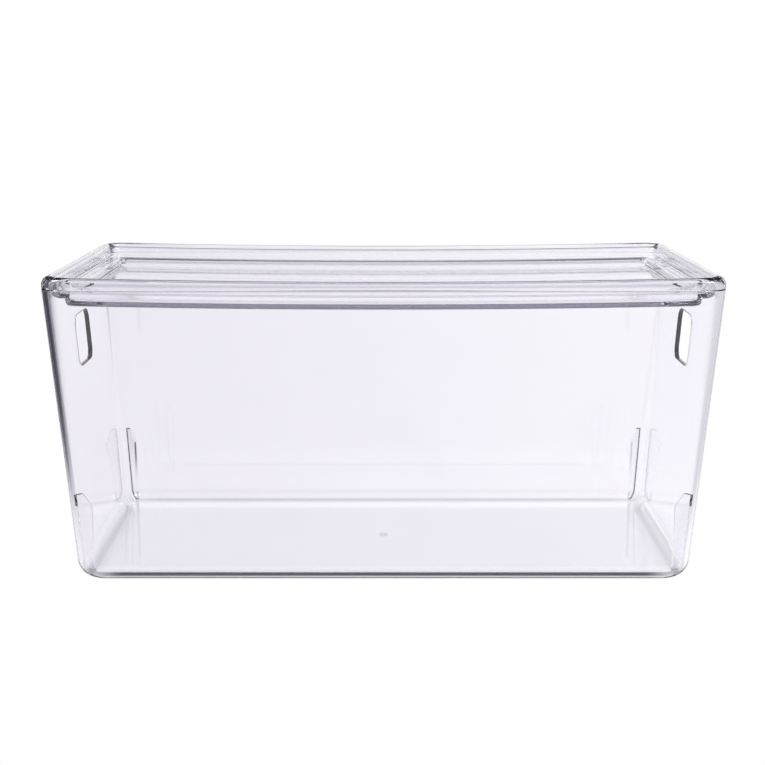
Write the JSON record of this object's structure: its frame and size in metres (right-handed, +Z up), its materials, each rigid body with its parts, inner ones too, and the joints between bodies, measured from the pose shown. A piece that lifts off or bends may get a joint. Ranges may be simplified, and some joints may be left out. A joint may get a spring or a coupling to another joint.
{
  "type": "fridge bin",
  "caption": "Clear tapered storage bin with a finger hole in each end wall, four stacking fins and a stepped tray lid that lifts off.",
  "frame": {"origin": "centre of the flat underside that the bin stands on", "axes": "+Z up, X along the long side between the two finger holes, +Y across the depth"},
  "size_m": [0.32, 0.156, 0.1508],
  "materials": {
    "bin_plastic": "clear, glossy",
    "lid_plastic": "clear, glossy"
  },
  "bodies": {
    "bin": {"bin": "bin_plastic"},
    "lid": {"lid": "lid_plastic"}
  },
  "joints": [
    {"name": "lid_lift", "type": "slide", "parent": "bin", "child": "lid", "axis": [0, 0, 1], "range_m": [0, 0.12]}
  ]
}
